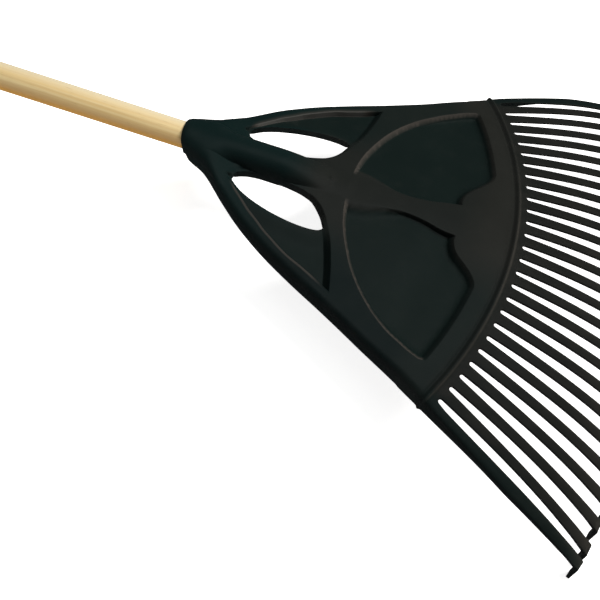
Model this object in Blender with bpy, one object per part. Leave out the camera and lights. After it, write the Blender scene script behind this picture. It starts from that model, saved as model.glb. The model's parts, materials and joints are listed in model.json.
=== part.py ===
"""A leaf rake: a wooden handle, a moulded fan-shaped head with 27 spring tines, and the screw that holds one in the other.

The head is designed in its own frame, in millimetres. u runs along the handle's axis from the socket's mouth towards the
tines, v runs across the fan, and w is up. The finished rake is then tilted about the v axis until the outer tine tips and
the far end of the handle both rest on z = 0, and moved so that the middle of its box stands over the origin.
"""

import math

import bmesh
import bpy
import numpy as np
from mathutils import Matrix, Vector
from mathutils.geometry import delaunay_2d_cdt

MM = 0.001

# Handle
HANDLE_R = 14.3  # 1 1/8 in dowel
HANDLE_LENGTH = 1219.0  # 48 in
HANDLE_IN_SOCKET = 100.0
HANDLE_NOSE = 6.0
FIT_GAP = 0.3

# Fan
TINES = 27
PITCH = 0.03923  # radians between neighbouring tines
FAN_U = -38.3  # the tines' centre lines meet here
SLOT_ROOT = 414.0
BEND_AT = 606.0
BEND_EDGE_GAIN = 8.5  # the outermost tines are this much longer
BEND_R = 4.5
HOOK_ANGLE = math.radians(80.0)
HOOK_LENGTH = 28.5
TIP_WIDTH = 0.72
SHEET = 3.0

# Head
RIB_R = 18.0
RIB_FLAT_U = 106.0
HUB_U = 176.0
HUB_CREST = 5.6
WEB_DROP = 7.0
LENS_DROP = 5.0
RAIL_RUN = 1.8
HUB_RUN = 7.4
LENS_RUN = 6.0
SPINE_RUN = 1.8
BEAD_R = 404.0
BEAD_HEIGHT = 2.2
GROOVE_R = 399.5
RIM_LIP_R = 380.0
ROLL = 8.0
TINE_ROLL = 3.0
EYE_WALL = 9.5
SHOULDER = 5.0
LIP = 2.4
GATE_U = 164.0
BORE_DEPTH = 101.5

# Screw through the socket's underside
SCREW_U = 52.0
SCREW_R = 2.1
SCREW_HEAD_R = 4.4
SCREW_HEAD = 2.4
SCREW_IN_WOOD = 11.0

# The right-hand half of each outline, as points on a smooth curve. The other half mirrors it.
OUTLINE = [
    (0, 17.4), (3, 19.4), (10.5, 22.0), (21, 26.0), (32, 30.5), (42, 38.1), (52, 47.6), (62.6, 57.7), (84, 75.8),
    (106, 90.6), (127, 103.1), (159, 119.7), (191, 135.5), (222.5, 151.8), (253.5, 168.4), (286, 185.3),
]
# How far the edge's flange hangs below the frame, along the handle's axis and then out along the fan
HANG_U = [
    (0, 4.6), (2, 6.2), (4.9, 8.4), (9, 10.8), (14, 12.6), (20, 13.6), (32, 15.0), (46, 16.2), (66, 15.4), (84, 15.8),
    (106, 17.8), (127, 18.8), (159, 19.8),
]
HANG_RHO = [
    (330, 1.0), (373, 1.07), (385, 1.04), (400, 0.96), (430, 0.80), (460, 0.60), (490, 0.43), (520, 0.32),
    (545, 0.28), (600, 0.20),
]
EYE_INNER = [
    (64.3, 30.8), (66, 25.7), (74, 21.4), (85, 19), (99, 18.2), (117, 18.2), (127, 19.4), (134, 20.5),
    (142, 22.8), (150.5, 26.8), (158, 34.5), (165, 44), (171, 56.0),
]
EYE_OUTER = [
    (171, 56.0), (166.5, 60), (158, 61.6), (146, 61.7), (134, 60.7), (122, 58.8), (110, 56.2), (98.7, 52.9),
    (87, 48.7), (76, 43.3), (68.3, 37.8), (65, 34), (64.3, 30.8),
]
RAIL_INNER = [
    (56, 31), (64, 38.5), (73, 47), (83, 55.8), (92, 64), (103, 72), (113, 80), (124, 87), (135, 94),
    (146, 100), (158, 105), (170, 110.5), (183, 117), (196.5, 124.5),
]
HUB_WALL = [
    (196.5, 124.5), (193.6, 110), (190.8, 97.3), (187.8, 86.5), (184.5, 75.5), (181, 66), (177.2, 57.7),
    (173.3, 49.9), (168.5, 41.5), (161, 32.4), (151, 25.4), (142, 22.2),
]
WEB_NOSE = [(56, 31), (60, 28.8), (64.3, 27.5)]
LENS_HUB_SIDE = [
    (183, 15.5), (184.6, 30), (188, 45.5), (192.5, 58.5), (198, 71.2), (204.5, 84.5), (211.5, 96), (219.5, 107),
    (229, 118), (239, 128), (250, 137), (261.5, 145.5), (274, 152.6), (285, 158.6), (297, 163.5),
]
LENS_NOTCH = [(334.6, 72.6), (332.8, 65.4), (327.6, 57.5), (319.5, 49), (311.5, 41.3), (306.5, 33.5), (304.5, 26), (305, 19.7)]
SPINE_EDGE = [
    (305, 19.7), (289, 17.4), (273, 13.3), (256, 10.7), (240, 10.1), (224, 10.4), (207, 12.9), (192, 15), (183, 15.5),
]


def smooth(low, high, x):
    t = np.clip((x - low) / (high - low), 0.0, 1.0)
    return t * t * (3 - 2 * t)


def soft_max(a, b, k):
    h = np.clip(0.5 + 0.5 * (a - b) / k, 0.0, 1.0)
    return b * (1 - h) + a * h + k * h * (1 - h)


def curve_through(points, step):
    """Points about step apart along a Catmull-Rom curve through these ones."""
    p = np.array(points, float)
    ends = np.vstack([2 * p[0] - p[1], p, 2 * p[-1] - p[-2]])
    out = []
    for i in range(len(p) - 1):
        a, b, c, d = ends[i : i + 4]
        n = max(1, int(round(np.linalg.norm(c - b) / step)))
        for t in np.arange(n) / n:
            out.append(
                0.5 * (2 * b + (c - a) * t + (2 * a - 5 * b + 4 * c - d) * t**2 + (3 * b - a - 3 * c + d) * t**3)
            )
    out.append(p[-1])
    return np.array(out)


def polar(rho, theta):
    return np.array([FAN_U + rho * math.cos(theta), rho * math.sin(theta)])


def fan(u, v):
    return np.hypot(u - FAN_U, v), np.arctan2(v, u - FAN_U)


def base_height(u, v):
    """The head's upper face before any relief: a shallow roof near the socket that turns into the comb's crowned fan."""
    rho, theta = fan(u, v)
    roof = 6.4 - 0.115 * np.sqrt(v * v + 16.0**2)
    y = (np.clip(rho, 300.0, bend_at(theta)) - 398.6) / 100
    comb = 7.0 - 6.1 * y - 2.24 * y**2 - 2.62 * y**3 + (-82 - 20.7 * y + 12.7 * y**2) * theta**2
    k = smooth(318.0, 400.0, rho)
    return roof * (1 - k) + comb * k


def frame_height(u, v):
    """The same with the shoulders beside the socket's mouth."""
    return base_height(u, v) + SHOULDER * np.exp(-(((u - 26.0) / 24.0) ** 2))


def bend_at(theta):
    """Where a tine starts to turn down."""
    return BEND_AT + BEND_EDGE_GAIN * smooth(10.6 * PITCH, 13.0 * PITCH, np.abs(theta))


def slot_half_width(rho):
    y = (rho - 398.6) / 100
    return 1.626 + 4.378 * y - 1.056 * y**2


def edge_tine_gain(rho):
    """How much wider the outermost tines are than the others, on the side of their slot."""
    return -0.8 + 6.9 * np.clip((rho - SLOT_ROOT) / 182.0, 0, 1.06) ** 1.35


def outer_angle(rho):
    """Angle of the head's outer edge along the outermost tine."""
    return PITCH * (13.27 - 0.0036 * np.clip(rho - 520.0, 0, 95.0))


def distance(points, line):
    """(distance, nearest point) from each point to a polyline."""
    best = np.full(len(points), 1e9)
    near = np.zeros((len(points), 2))
    for a, b in zip(line[:-1], line[1:]):
        ab = b - a
        t = np.clip(((points - a) @ ab) / max(ab @ ab, 1e-12), 0, 1)
        q = a + t[:, None] * ab
        d = np.hypot(*(points - q).T)
        closer = d < best
        best[closer] = d[closer]
        near[closer] = q[closer]
    return best, near


def inside(points, loop):
    found = np.zeros(len(points), bool)
    x, y = points[:, 0], points[:, 1]
    for a, b in zip(loop, np.roll(loop, -1, axis=0)):
        crosses = (a[1] > y) != (b[1] > y)
        with np.errstate(divide="ignore", invalid="ignore"):
            found ^= crosses & (x < (b[0] - a[0]) * (y - a[1]) / (b[1] - a[1]) + a[0])
    return found


def mirrored(points):
    return points * np.array([1.0, -1.0])


def lens_loop(step):
    """The lens recess's edge: everything but the spine's side, and that side."""
    rim = [polar(RIM_LIP_R, a) for a in np.linspace(math.radians(25.4), math.radians(12.0), max(4, int(100 / step)))]
    soft = np.vstack([curve_through(LENS_HUB_SIDE, step), [(302.0, 163.3)], rim, curve_through(LENS_NOTCH, step)])
    return soft, curve_through(SPINE_EDGE, step)


def web_loop(step):
    """The web's edge: the rail's side from the nose on, the hub's side, and the whole loop."""
    rail = np.vstack([curve_through(WEB_NOSE, step)[::-1][:-1], curve_through(RAIL_INNER, step)])
    hub = curve_through(HUB_WALL, step)
    inner = curve_through(EYE_INNER, step)
    loop = np.vstack([rail, hub[1:], inner[(inner[:, 0] < 140) & (inner[:, 0] > 66)][::-1]])
    return rail, hub, loop


def tine_edge(k, side, rhos):
    """Points down one side of tine k (0 to 26, from +v), side +1 towards +v."""
    slot = k - 1 if side > 0 else k
    theta = (12.5 - slot) * PITCH
    half = slot_half_width(np.minimum(rhos, BEND_AT + 4))
    if k == 0 or k == TINES - 1:
        half = half - edge_tine_gain(rhos)
    n = np.array([-math.sin(theta), math.cos(theta)])
    centre = np.stack([FAN_U + rhos * math.cos(theta), rhos * math.sin(theta)], 1)
    return centre - side * half[:, None] * n


def tine_outer_edge(side, rhos):
    return np.stack([polar(r, side * float(outer_angle(r))) for r in rhos])


def tine_stations(base, k):
    """The stations along tine k: the last ones follow its bend."""
    shift = float(bend_at(np.array([(13 - k) * PITCH]))[0]) - BEND_AT
    return np.array([r + shift if r > BEND_AT - 1 else r for r in base])


def outer_loop(stations, root_points, step):
    """The head's outline with its slots, anticlockwise from the mouth's -v corner, as (point, flanged)."""
    body = curve_through(OUTLINE, step)
    mouth = OUTLINE[0][1]
    loop = [(np.array([0.0, mouth * math.sin(math.radians(a))]), False) for a in range(70, -71, -20)]
    loop += [(p, True) for p in mirrored(body)]
    rim = np.linspace(392.0, SLOT_ROOT + 4, 3)
    loop += [(p, True) for p in tine_outer_edge(-1, rim)]
    base = stations
    stations = tine_stations(base, TINES - 1)
    loop += [(p, r < 590) for p, r in zip(tine_outer_edge(-1, stations), stations)]
    for k in range(TINES - 1, -1, -1):
        stations = tine_stations(base, k)
        # The tip, rounded at its corners
        low = tine_outer_edge(-1, stations[-1:])[0] if k == TINES - 1 else tine_edge(k, -1, stations[-1:])[0]
        high = tine_outer_edge(1, stations[-1:])[0] if k == 0 else tine_edge(k, 1, stations[-1:])[0]
        middle = (low + high) / 2
        out = middle - np.array([FAN_U, 0])
        out /= np.linalg.norm(out)
        loop += [(middle + TIP_WIDTH * 0.75 * (low - middle) + 2.6 * out, False), (middle + TIP_WIDTH * 0.75 * (high - middle) + 2.6 * out, False)]
        if k == 0:
            break
        loop += [(p, False) for p in tine_edge(k, 1, stations)[::-1]]
        # The slot's round root
        theta = (12.5 - (k - 1)) * PITCH
        r = float(slot_half_width(SLOT_ROOT + 2))
        for a in np.linspace(-90, 90, root_points):
            c = polar(SLOT_ROOT + r - r * math.cos(math.radians(a)), theta)
            n = np.array([-math.sin(theta), math.cos(theta)])
            loop.append((c + n * r * math.sin(math.radians(a)), False))
        stations = tine_stations(base, k - 1)
        loop += [(p, False) for p in tine_edge(k - 1, -1, stations)]
    loop += [(p, r < 590) for p, r in zip(tine_outer_edge(1, stations), stations)][::-1]
    loop += [(p, True) for p in tine_outer_edge(1, rim)[::-1]]
    loop += [(p, True) for p in body[::-1]]
    return np.array([p for p, _ in loop]), np.array([f for _, f in loop])


class Head:
    """The head's faces as functions of the flat pattern."""

    def __init__(self, step):
        self.lens_soft, self.lens_spine = lens_loop(step)
        self.lens = np.vstack([self.lens_soft, self.lens_spine[1:-1]])
        self.web_rail, self.web_hub, self.web = web_loop(step)
        body = curve_through(OUTLINE, step)
        edge = tine_outer_edge(1, np.linspace(376.0, 606.0, 12))
        self.flanged = np.vstack([body, edge])
        self.eye_in = curve_through(EYE_INNER, step)
        self.eye_out = curve_through(EYE_OUTER, step)

    def relief(self, p, shift):
        """How far the webs and the lens recesses lie below the frame. shift moves the walls into the frame's side."""
        q = np.stack([p[:, 0], np.abs(p[:, 1])], 1)
        low = np.zeros(len(p))
        walls = (
            (self.lens, self.lens_soft, LENS_RUN, self.lens_spine, SPINE_RUN, LENS_DROP),
            (self.web, self.web_rail, RAIL_RUN, self.web_hub, HUB_RUN, WEB_DROP),
        )
        for loop, one, one_run, two, two_run, drop in walls:
            within = inside(q, loop)
            a, _ = distance(q, one)
            b, _ = distance(q, two)
            nearest = -np.minimum(a, b)
            f = smooth(0.0, one_run, np.where(within, a, nearest) + shift)
            g = smooth(0.0, two_run, np.where(within, b, nearest) + shift)
            # The lens is deepest at the rim
            rho, _ = fan(q[:, 0], q[:, 1])
            depth = drop + 1.6 * smooth(300.0, 345.0, rho)
            if drop == WEB_DROP:
                # The web rises towards the eye
                c, _ = distance(q, self.eye_out)
                depth = np.where(within, 3.0 + (WEB_DROP - 3.0) * smooth(0.0, 22.0, c), WEB_DROP)
            low = np.maximum(low, depth * np.minimum(f, g))
        return low

    def roll(self, p, radius_shift):
        q = np.stack([p[:, 0], np.abs(p[:, 1])], 1)
        d, _ = distance(q, self.flanged)
        d = d - radius_shift
        rho, _ = fan(q[:, 0], q[:, 1])
        r = ROLL + (TINE_ROLL - ROLL) * smooth(385.0, 425.0, rho)
        r = r * (0.4 + 0.6 * smooth(20.0, 60.0, q[:, 0]))
        r = r * smooth(606.0, 590.0, rho) + 1e-6
        r = np.maximum(r - radius_shift, 0.3)
        x = np.clip(r - d, 0, r)
        near_mouth = smooth(-2.0, 14.0, q[:, 0])
        return (r - np.sqrt(np.maximum(r * r - x * x, 0))) * near_mouth

    def rib(self, u, v):
        crest = RIB_R + (HUB_CREST - RIB_R) * smooth(RIB_FLAT_U, HUB_U, u)
        crest = crest - LIP * (1 - np.sqrt(1 - np.clip(1 - u / 8.0, 0, 1) ** 2))
        return crest * np.sqrt(np.clip(1 - (v / RIB_R) ** 2, 0, 1))

    def top(self, p):
        u, v = p[:, 0], p[:, 1]
        rho, theta = fan(u, v)
        base = frame_height(u, v) - self.roll(p, 0.0)
        bead = BEAD_HEIGHT * np.exp(-(((rho - BEAD_R) / 1.7) ** 2)) - 0.5 * np.exp(-(((rho - GROOVE_R) / 1.1) ** 2))
        base = base + bead - self.relief(p, 0.0)
        # The frame falls away to the eyes beside the rib
        beside, _ = distance(np.stack([u, np.abs(v)], 1), self.eye_in)
        base = base - 3.5 * smooth(8.0, 0.0, beside) * smooth(52.0, 70.0, u) * smooth(160.0, 96.0, u)
        k = 8.5 * smooth(70.0, 36.0, u) + 1.6
        joined = soft_max(self.rib(u, v), base, k)
        out = np.where(np.abs(v) < RIB_R + 6, np.where(u < HUB_U + 8, joined, base), base)
        # Round the mouth, the rib and the rails run together into one smooth hump
        half = np.interp(u, [a for a, _ in OUTLINE], [b for _, b in OUTLINE]) + 0.4
        hump = self.rib(u, v * 0.0) * np.sqrt(np.clip(1 - (v / half) ** 2, 0, 1))
        merge = 1 - smooth(24.0, 62.0, u)
        out = out * (1 - merge) + np.maximum(hump, 0.6) * merge
        # The gate mark on the hub
        return out + 0.9 * np.exp(-(((u - GATE_U) ** 2 + v * v) / 2.3**2) ** 2)

    def bottom(self, p):
        u, v = p[:, 0], p[:, 1]
        base = frame_height(u, v) - self.roll(p, SHEET) - self.relief(p, SHEET) - SHEET
        vault = self.rib(u, v) - SHEET - 1.0
        open_rib = np.where((np.abs(v) < RIB_R) & (u < HUB_U + 8), np.maximum(base, vault), base)
        tube = -np.sqrt(np.clip(RIB_R**2 - v**2, 0, None))
        solid = smooth(120.0, 112.0, u)
        inside_tube = np.abs(v) < RIB_R
        return np.where(inside_tube & (u < 120.0), open_rib * (1 - solid) + np.minimum(tube, open_rib) * solid, open_rib)


def mouth_rake(u, w):
    """The socket's mouth leans back below the handle's axis."""
    return (3.0 + 3.2 * np.tanh((6.0 - w) / 9.0)) * (1 - smooth(0.0, 16.0, u))


def hook_thickness(past):
    """The hooks are thicker than the sheet, most of all at their bend."""
    return SHEET + 1.3 * smooth(-14.0, 4.0, past) - 0.6 * smooth(10.0, 34.0, past)


def bend(p, w, depth):
    """Carries a pattern point and its height to the head's frame, with the hooks bent down past the bend's start. depth is how far under the upper face it lies."""
    rho, theta = fan(p[:, 0], p[:, 1])
    out = np.stack([p[:, 0] + mouth_rake(p[:, 0], w), p[:, 1], w], 1)
    start_at = bend_at(theta)
    past = rho > start_at
    du, dv = np.cos(theta), np.sin(theta)
    y = (start_at - 398.6) / 100
    slope = (-6.1 - 4.48 * y - 7.86 * y * y + (-20.7 + 25.4 * y) * theta**2) / 100
    start = np.arctan(slope)
    turn = HOOK_ANGLE + start
    s = rho - start_at
    arc = BEND_R * turn
    a = np.clip(s / arc, 0, 1) * turn
    angle = start - a
    along = BEND_R * (np.sin(a - start) + np.sin(start)) + np.clip(s - arc, 0, None) * np.cos(angle)
    fall = BEND_R * (np.cos(start) - np.cos(a - start)) + np.clip(s - arc, 0, None) * -np.sin(angle)
    # Under the face, at right angles to it
    along = along + depth * np.sin(angle)
    fall = fall + depth * np.cos(angle)
    r = start_at + along
    surface = w + depth  # the upper face's height at the bend's start
    out[past, 0] = (FAN_U + r * du)[past]
    out[past, 1] = (r * dv)[past]
    out[past, 2] = (surface - fall)[past]
    return out


def build_head_mesh(step, stations, root_points, rib_rows, extra):
    """One closed mesh of the head in its own frame, in millimetres."""
    head = Head(step)
    loop, flanged = outer_loop(stations, root_points, step)
    eye_in, eye_out = head.eye_in, head.eye_out
    eye = np.vstack([eye_in[:-1], eye_out[:-1]])
    eye_flag = np.ones(len(eye), bool)
    eye_kind = ["tip"] + ["eye"] * (len(eye_in) - 2) + ["tip"] + ["web"] * (len(eye_out) - 2)
    loops = [(loop, flanged, ["out"] * len(loop)), (eye, eye_flag, eye_kind), (mirrored(eye), eye_flag, eye_kind)]

    points, edges = [], []
    for pts, _, _ in loops:
        first = len(points)
        points += [tuple(p) for p in pts]
        edges += [(first + i, first + (i + 1) % len(pts)) for i in range(len(pts))]
    boundary_count = len(points)

    def add_line(pts, closed=False):
        first = len(points)
        points.extend(tuple(p) for p in pts)
        n = len(pts)
        edges.extend((first + i, first + i + 1) for i in range(n - 1))
        if closed:
            edges.append((first + n - 1, first))

    def inset(pts, d, closed=False):
        """The polyline moved to its left by d."""
        p = np.array(pts, float)
        before = np.roll(p, 1, 0) if closed else np.vstack([p[:1], p[:-1]])
        after = np.roll(p, -1, 0) if closed else np.vstack([p[1:], p[-1:]])
        t = after - before
        t /= np.linalg.norm(t, axis=1)[:, None]
        return p + d * np.stack([-t[:, 1], t[:, 0]], 1)

    lines = []
    # The recesses' walls: their upper and lower edges. The lines run clockwise, so the recess lies to their right.
    lines.append((head.lens, True))
    lines.append((head.web_rail, False))
    lines.append((head.web_hub, False))
    for pts, run in ((head.lens_soft, LENS_RUN), (head.lens_spine, SPINE_RUN), (head.web_rail[2:], RAIL_RUN), (head.web_hub, HUB_RUN)):
        if run > 3.0:
            lines.append((inset(pts, -run * 0.5, False)[1:-1], False))
        lines.append((inset(pts, -run, False)[1:-1], False))
    # The rolled edge's upper line
    body = curve_through(OUTLINE, step)[3:]
    lines.append((inset(body, -ROLL * 0.3), False))
    lines.append((inset(body, -ROLL), False))
    # The bead and its groove
    arc = np.linspace(-13.2 * PITCH, 13.2 * PITCH, extra["arc"])
    arcs = [[polar(r, a) for a in arc] for r in (GROOVE_R - 2, GROOVE_R, BEAD_R, BEAD_R + 3.5)]
    for pts, closed in lines:
        for m in (pts, mirrored(np.array(pts))):
            add_line(m, closed)
    for pts in arcs:
        add_line(pts)
    for v in rib_rows:
        for side in (1, -1) if v else (1,):
            add_line([(u, side * v) for u in extra["rib_u"]])
    for p in extra["fill"]:
        points.append(tuple(p))

    keep_from = boundary_count
    pts = np.array(points)
    near_edge = np.zeros(len(pts), bool)
    for ring, _, _ in loops:
        closed_ring = np.vstack([ring, ring[:1]])
        d, _ = distance(pts[keep_from:], closed_ring)
        near_edge[keep_from:] |= d < 1.0
    ok = inside(pts, loop)
    for ring in (eye, mirrored(eye)):
        ok &= ~inside(pts, ring)
    ok[:boundary_count] = True
    ok &= ~near_edge
    index = -np.ones(len(pts), int)
    index[ok] = np.arange(ok.sum())
    edges = [(int(index[a]), int(index[b])) for a, b in edges if ok[a] and ok[b]]
    found = delaunay_2d_cdt([Vector(p) for p in pts[ok]], edges, [], 0, 1e-4, True)
    flat = np.array([tuple(p) for p in found[0]])
    origin = found[3]
    tris = np.array([f for f in found[2]])
    centre = flat[tris].mean(axis=1)
    good = inside(centre, loop)
    for ring in (eye, mirrored(eye)):
        good &= ~inside(centre, ring)
    tris = tris[good]
    a, b, c = (flat[tris[:, i]] for i in range(3))
    turn = (b[:, 0] - a[:, 0]) * (c[:, 1] - a[:, 1]) - (b[:, 1] - a[:, 1]) * (c[:, 0] - a[:, 0])
    tris = tris[np.abs(turn) > 1e-9]
    turn = turn[np.abs(turn) > 1e-9]
    tris[turn < 0] = tris[turn < 0][:, ::-1]

    rho, _ = fan(flat[:, 0], flat[:, 1])
    top_w = head.top(flat)
    top = bend(flat, top_w, np.zeros(len(flat)))

    # Which points lie on a flanged edge, and how deep its wall hangs
    flag = np.zeros(len(flat), bool)
    kind = np.array([""] * len(flat), dtype=object)
    flags_in = np.concatenate([f for _, f, _ in loops])
    kinds_in = sum([k for _, _, k in loops], [])
    back = np.flatnonzero(ok)
    for i, sources in enumerate(origin):
        for s in sources:
            j = back[s]
            if j < boundary_count:
                flag[i] |= bool(flags_in[j])
                kind[i] = kinds_in[j]
    q = np.stack([flat[:, 0], np.abs(flat[:, 1])], 1)
    d_out, near_out = distance(q, head.flanged)
    d_in, near_in = distance(q, eye_in)
    d_web, near_web = distance(q, eye_out)
    reach = 12.0 + (5.0 - 12.0) * smooth(395.0, 412.0, rho)
    moved = q.copy()
    taper = smooth(604.0, 588.0, rho) * smooth(-1.0, 8.0, q[:, 0])
    tips = np.minimum(
        smooth(0.0, 9.0, np.hypot(*(q - eye_in[0]).T)), smooth(0.0, 9.0, np.hypot(*(q - eye_in[-1]).T))
    )
    seven = np.full(len(q), 7.0)
    for d, near, how, line, ends in (
        (d_out, near_out, reach, head.flanged, taper), (d_in, near_in, seven, eye_in, tips), (d_web, near_web, seven, eye_out, tips),
    ):
        close = d < how
        direction = q - near
        length = np.linalg.norm(direction, axis=1)
        # On the line itself, straight in from it
        t = np.gradient(line, axis=0)
        t /= np.linalg.norm(t, axis=1)[:, None]
        which = np.argmin(((q[:, None, :] - line[None]) ** 2).sum(-1), axis=1)
        normal = np.stack([t[which, 1], -t[which, 0]], 1)
        direction = np.where(length[:, None] > 1e-3, direction / np.maximum(length, 1e-9)[:, None], normal)
        amount = SHEET * (1 - d / how) * ends
        moved = np.where(close[:, None], moved + direction * amount[:, None], moved)
    moved[:, 1] *= np.where(flat[:, 1] < 0, -1, 1)
    under_w = head.bottom(moved)
    _, theta = fan(flat[:, 0], flat[:, 1])
    past = rho - bend_at(theta)
    thick = hook_thickness(past)
    under_w = np.where(past > 0, top_w - thick, np.minimum(under_w - (thick - SHEET), top_w - 1.5))
    under = bend(moved, under_w, np.where(past > 0, thick, 0.0))

    verts = [tuple(p) for p in top] + [tuple(p) for p in under]
    n = len(flat)
    faces = [tuple(int(x) for x in t) for t in tris] + [tuple(int(x) + n for x in t[::-1]) for t in tris]
    # Edge walls
    seen = {}
    for t in tris:
        for i in range(3):
            seen[(int(t[i]), int(t[(i + 1) % 3]))] = True
    border = [e for e in seen if (e[1], e[0]) not in seen]
    chain = {}

    def wall(i):
        if i in chain:
            return chain[i]
        ids = [i]
        if flag[i]:
            u, v = flat[i]
            r = rho[i]
            base = float(base_height(np.array([u]), np.array([v]))[0])
            inner = -EYE_WALL + 1.2 * float(smooth(130.0, 168.0, u))
            if kind[i] == "eye":
                floor = inner
            elif kind[i] == "web":
                floor = base - 12.0
            elif kind[i] == "tip":
                floor = (inner + base - 12.0) / 2
            else:
                floor = base - float(np.interp(u, *zip(*HANG_U))) * float(np.interp(r, *zip(*HANG_RHO)))
            floor = min(floor, top[i][2] - 0.8)
            if u < 2 and kind[i] == "out":
                chain[i] = [i, i + n]
                return chain[i]
            verts.append((top[i][0], top[i][1], floor))
            ids.append(len(verts) - 1)
            if kind[i] in ("out", "web") or u > 122:
                verts.append((under[i][0], under[i][1], min(floor, under[i][2] - 0.4)))
                ids.append(len(verts) - 1)
        ids.append(i + n)
        chain[i] = ids
        return ids

    for a_, b_ in border:
        one, two = wall(a_), wall(b_)
        if len(one) == len(two):
            for i in range(len(one) - 1):
                faces.append((one[i], one[i + 1], two[i + 1], two[i]))
        else:
            faces.append(tuple(one) + tuple(two[::-1]))
    mesh = bpy.data.meshes.new("rake_head")
    mesh.from_pydata([Vector(v) for v in verts], [], faces)
    mesh.validate()
    bm = bmesh.new()
    bm.from_mesh(mesh)
    bmesh.ops.triangulate(bm, faces=bm.faces[:])
    bmesh.ops.remove_doubles(bm, verts=bm.verts[:], dist=0.01)
    bmesh.ops.recalc_face_normals(bm, faces=bm.faces[:])
    bm.to_mesh(mesh)
    bm.free()
    return mesh


def material(name, colour, roughness, metallic=0.0):
    m = bpy.data.materials.new(name)
    m.use_nodes = True
    shader = m.node_tree.nodes["Principled BSDF"]
    shader.inputs["Base Color"].default_value = (*colour, 1)
    shader.inputs["Roughness"].default_value = roughness
    shader.inputs["Metallic"].default_value = metallic
    return m


def turned(name, profile, sides, axis):
    """A solid turned from (radius, height) points about its own Z axis, then laid along axis."""
    mesh = bpy.data.meshes.new(name)
    bm = bmesh.new()
    rings = []
    for r, h in profile:
        if r < 1e-9:
            rings.append([bm.verts.new((0, 0, h))])
        else:
            rings.append([
                bm.verts.new((r * math.cos(2 * math.pi * i / sides), r * math.sin(2 * math.pi * i / sides), h))
                for i in range(sides)
            ])
    for one, two in zip(rings[:-1], rings[1:]):
        for i in range(sides):
            j = (i + 1) % sides
            a, b = one[i % len(one)], one[j % len(one)]
            c, d = two[j % len(two)], two[i % len(two)]
            bm.faces.new(list(dict.fromkeys((a, b, c, d))))
    for ring, flip in ((rings[0], True), (rings[-1], False)):
        if len(ring) > 1:
            bm.faces.new(ring[::-1] if flip else ring)
    bmesh.ops.recalc_face_normals(bm, faces=bm.faces[:])
    bm.transform(Vector(axis).to_track_quat("Z", "Y").to_matrix().to_4x4())
    bm.to_mesh(mesh)
    bm.free()
    return mesh


def add(name, mesh, mat=None, at=(0, 0, 0)):
    obj = bpy.data.objects.new(name, mesh)
    bpy.context.scene.collection.objects.link(obj)
    obj.location = at
    if mat:
        mesh.materials.append(mat)
    return obj


def cut(obj, cutter, name):
    cutter.hide_render = True
    cutter.display_type = "WIRE"
    m = obj.modifiers.new(name, "BOOLEAN")
    m.operation = "DIFFERENCE"
    m.object = cutter
    m.solver = "EXACT"


for old in list(bpy.data.objects):
    bpy.data.objects.remove(old)

plastic = material("black_plastic", (0.012, 0.016, 0.016), 0.45)
wood = material("wood", (0.72, 0.52, 0.28), 0.5)
steel = material("zinc_steel", (0.6, 0.6, 0.58), 0.35, 1.0)

bend_length = BEND_R * 1.05
stations = np.array([
    SLOT_ROOT + 12, SLOT_ROOT + 50, SLOT_ROOT + 95, SLOT_ROOT + 145, BEND_AT, BEND_AT + bend_length * 0.5,
    BEND_AT + bend_length, BEND_AT + bend_length + HOOK_LENGTH,
])
fill = [(u, side * v) for u in range(206, 380, 24) for v in range(0, 200, 24) for side in ((1, -1) if v else (1,))]
fill += [polar(409.0, a * PITCH) for a in np.arange(-12.0, 12.5, 1.0)]
rib_rows = [0.0] + [RIB_R * math.sin(math.radians(a)) for a in (24, 46, 66)]
head_mesh = build_head_mesh(
    12.0, stations, 5, rib_rows,
    {"arc": 31, "rib_u": [2, 8, 24, 46, 68, 90, 112, 120, 132, 146, 160, 174], "fill": fill},
)
head = add("rake_head", head_mesh, plastic)
bore = add("bore_cutter", turned(
    "bore_cutter", [(HANDLE_R + FIT_GAP, -20), (HANDLE_R + FIT_GAP, BORE_DEPTH - HANDLE_NOSE), (HANDLE_R + FIT_GAP - 3.0, BORE_DEPTH + 0.3)], 40, (1, 0, 0)
))
cut(head, bore, "socket bore")
screw_bore = add("screw_cutter", turned(
    "screw_cutter", [(SCREW_R + FIT_GAP, 0), (SCREW_R + FIT_GAP, 40)], 20, (0, 0, -1)
), at=(SCREW_U, 0, 0))
cut(head, screw_bore, "screw hole")

handle_mesh = turned("handle", [
    (HANDLE_R - 4.0, -(HANDLE_LENGTH - HANDLE_IN_SOCKET)),
    (HANDLE_R - 1.2, -(HANDLE_LENGTH - HANDLE_IN_SOCKET) + 1.0),
    (HANDLE_R, -(HANDLE_LENGTH - HANDLE_IN_SOCKET) + 4.5),
    (HANDLE_R, HANDLE_IN_SOCKET - HANDLE_NOSE),
    (HANDLE_R - 3.0, HANDLE_IN_SOCKET),
], 40, (1, 0, 0))
handle = add("handle", handle_mesh, wood)
pilot = add("pilot_cutter", turned(
    "pilot_cutter", [(SCREW_R + FIT_GAP, 0), (SCREW_R + FIT_GAP, 30)], 20, (0, 0, -1)
), at=(SCREW_U, 0, -(HANDLE_R - SCREW_IN_WOOD - FIT_GAP)))
cut(handle, pilot, "pilot hole")

under = RIB_R + FIT_GAP
screw_mesh = turned("socket_screw", [
    (0.0, -(HANDLE_R - SCREW_IN_WOOD)),
    (SCREW_R, -(HANDLE_R - SCREW_IN_WOOD) - 3.0),
    (SCREW_R, -under),
    (SCREW_HEAD_R, -under),
    (SCREW_HEAD_R, -under - SCREW_HEAD * 0.5),
    (SCREW_HEAD_R * 0.72, -under - SCREW_HEAD),
], 24, (0, 0, 1))
screw = add("socket_screw", screw_mesh, steel, at=(SCREW_U, 0, 0))

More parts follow.
